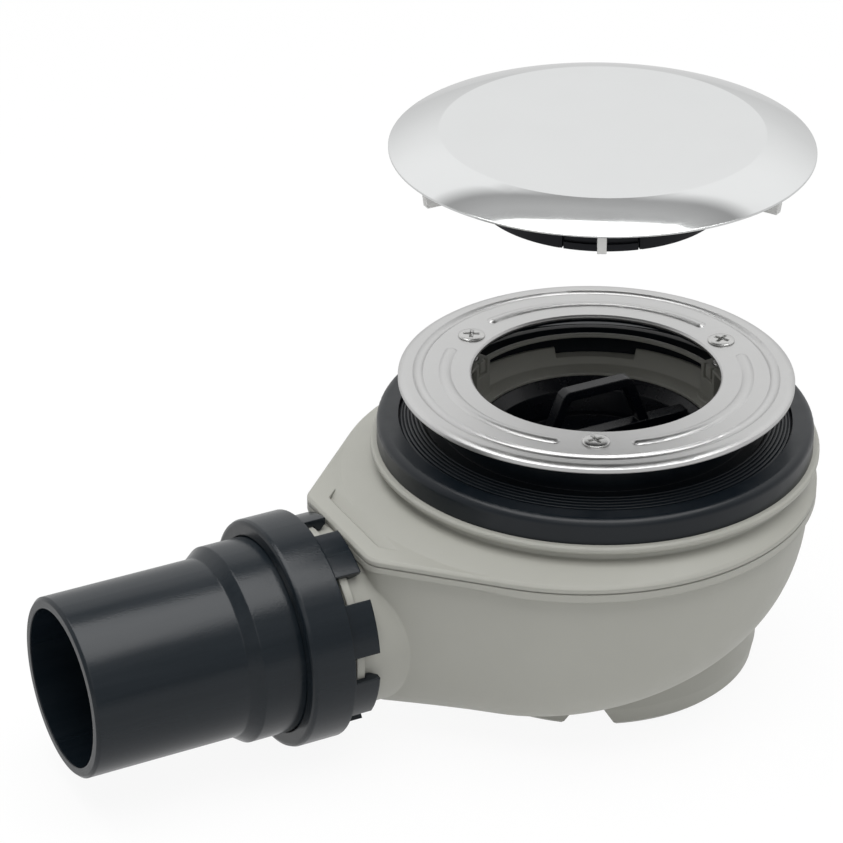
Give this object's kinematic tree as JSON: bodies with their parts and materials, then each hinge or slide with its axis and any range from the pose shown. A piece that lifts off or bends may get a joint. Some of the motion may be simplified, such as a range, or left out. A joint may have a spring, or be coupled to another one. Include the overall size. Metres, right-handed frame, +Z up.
{
  "type": "shower trap",
  "caption": "Low shower tray trap: round grey body with clamping flange ring, ribbed tray seal, lift-out insert, side outlet pipe with claw nut, and a domed lift-off cover held above it.",
  "frame": {"origin": "the trap's upright axis at the top face of the flange ring", "axes": "+Z up, outlet pipe towards -X, the XZ plane is the plane of symmetry"},
  "size_m": [0.2262, 0.1346, 0.1615],
  "materials": {
    "chrome_cover": "polished",
    "ring_metal": "satin",
    "screw_metal": "satin",
    "body_grey": "satin",
    "carrier_grey": "satin",
    "black_plastic": "satin",
    "pipe_black": "satin",
    "seal_rubber": "matt"
  },
  "bodies": {
    "root": {"cover_plate": "chrome_cover", "cover_carrier": "carrier_grey", "cover_clip_ring": "black_plastic", "flange_ring": "ring_metal", "flange_screws": "screw_metal", "captive_nuts": "screw_metal", "flange_gasket": "seal_rubber", "tray_seal": "seal_rubber", "upper_shell": "body_grey", "lower_shell": "body_grey", "trap_insert": "black_plastic", "insert_seal": "seal_rubber", "trap_cup": "black_plastic", "union_nut": "pipe_black", "outlet_spigot": "pipe_black", "outlet_seal": "seal_rubber"}
  },
  "joints": []
}
